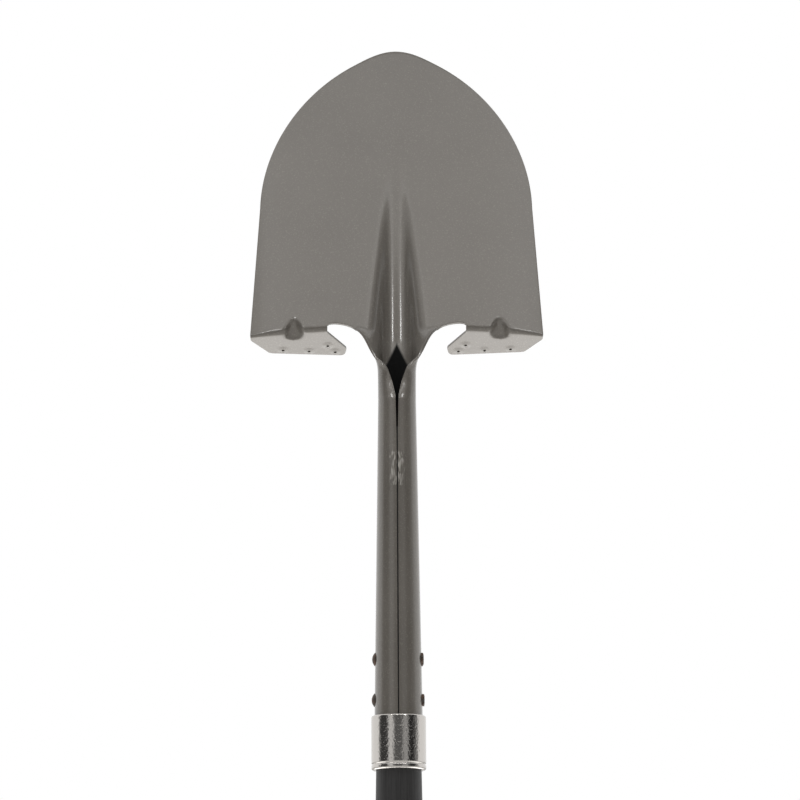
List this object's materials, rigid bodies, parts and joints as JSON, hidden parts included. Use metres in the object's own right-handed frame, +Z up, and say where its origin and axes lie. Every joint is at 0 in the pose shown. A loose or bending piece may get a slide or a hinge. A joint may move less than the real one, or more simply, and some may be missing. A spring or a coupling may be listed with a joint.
{
  "type": "round point shovel",
  "caption": "Open-back round point shovel: pressed steel blade with forward-turned treads and rolled socket, riveted to a long fibreglass handle with a chromed collar and cushion grip.",
  "frame": {"origin": "centre of the flat bottom end of the handle's end cap", "axes": "+Z up the handle's axis towards the blade, +Y towards the digging side of the blade, +X to the right when looking at the open back"},
  "size_m": [0.229, 0.1471, 1.4733],
  "materials": {
    "blade_paint": "satin warm grey metallic paint",
    "collar_chrome": "bright chrome plate",
    "rivet_steel": "dull hammered steel with light rust",
    "handle_fibreglass": "matte black pultruded fibreglass",
    "core_wood": "turned hardwood",
    "grip_rubber": "matte black moulded rubber",
    "cap_rubber": "matte black moulded rubber"
  },
  "bodies": {
    "root": {"blade": "blade_paint", "collar": "collar_chrome", "rivet_upper": "rivet_steel", "rivet_lower": "rivet_steel", "handle": "handle_fibreglass", "handle_core": "core_wood", "end_grip": "grip_rubber", "end_cap": "cap_rubber"}
  },
  "joints": []
}
